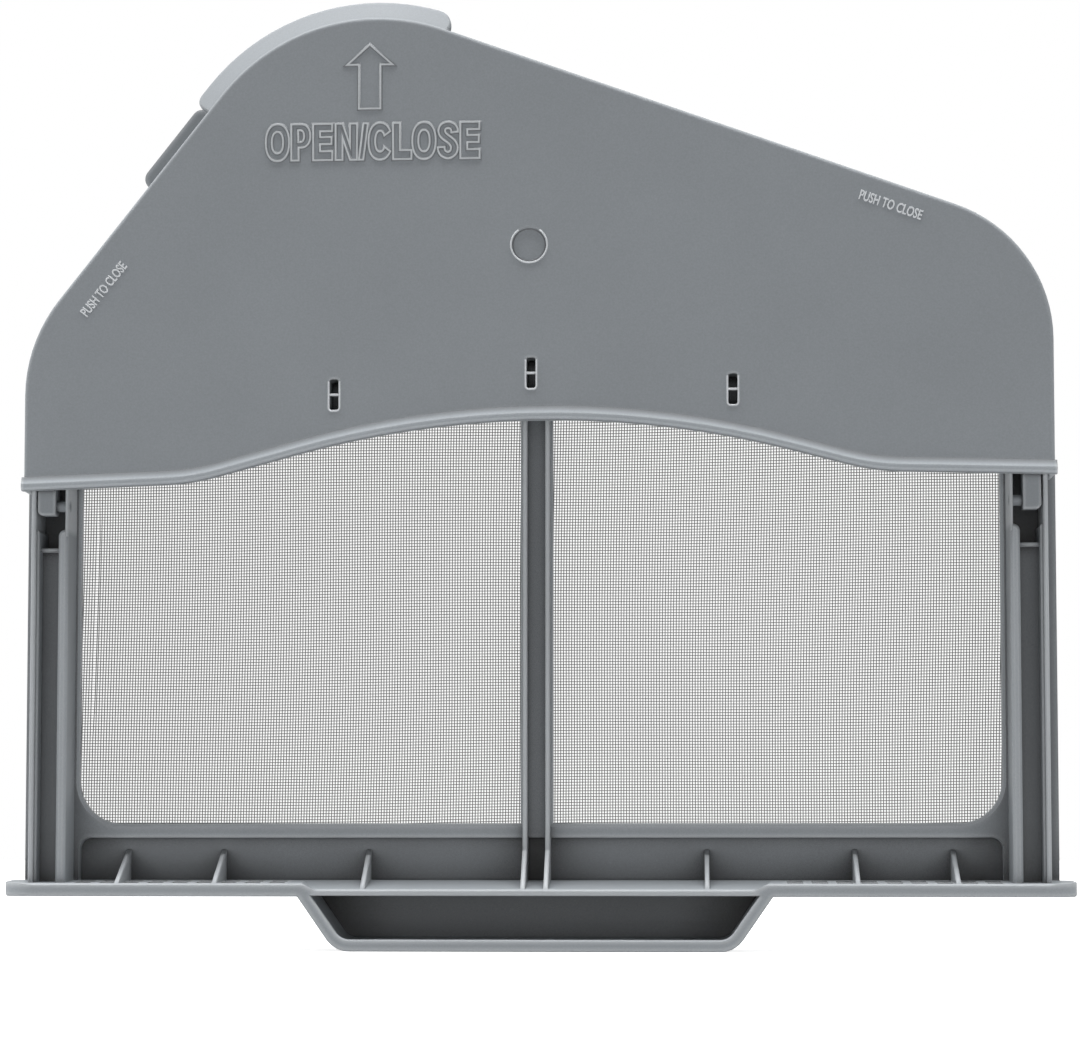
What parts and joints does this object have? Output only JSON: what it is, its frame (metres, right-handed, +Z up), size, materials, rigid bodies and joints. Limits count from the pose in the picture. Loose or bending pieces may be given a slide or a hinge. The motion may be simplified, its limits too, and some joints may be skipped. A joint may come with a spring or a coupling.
{
  "type": "tumble dryer lint filter",
  "caption": "Pull-out lint filter: moulded frame with woven screens in its windows, finger pocket handle under a flange, and a hinged front cover with a flared lip.",
  "frame": {"origin": "centre of the handle's flat bottom face, on which the filter stands", "axes": "+Z up from the handle to the crown of the cover, -Y towards the front with the cover, +X along the flange to the right as seen from the front"},
  "size_m": [0.376, 0.03, 0.3376],
  "materials": {
    "frame_plastic": "matte grey moulded plastic",
    "cover_plastic": "fine matte grey moulded plastic",
    "screen": "fine woven polyester screen"
  },
  "bodies": {
    "frame": {"rear_frame": "frame_plastic", "left_mesh": "screen", "right_mesh": "screen"},
    "cover": {"front_cover": "cover_plastic"}
  },
  "joints": [
    {"name": "cover_hinge", "type": "hinge", "parent": "frame", "child": "cover", "pos_m": [0, -0.0062, 0.157], "axis": [1, 0, 0], "range_deg": [0, 95]}
  ]
}
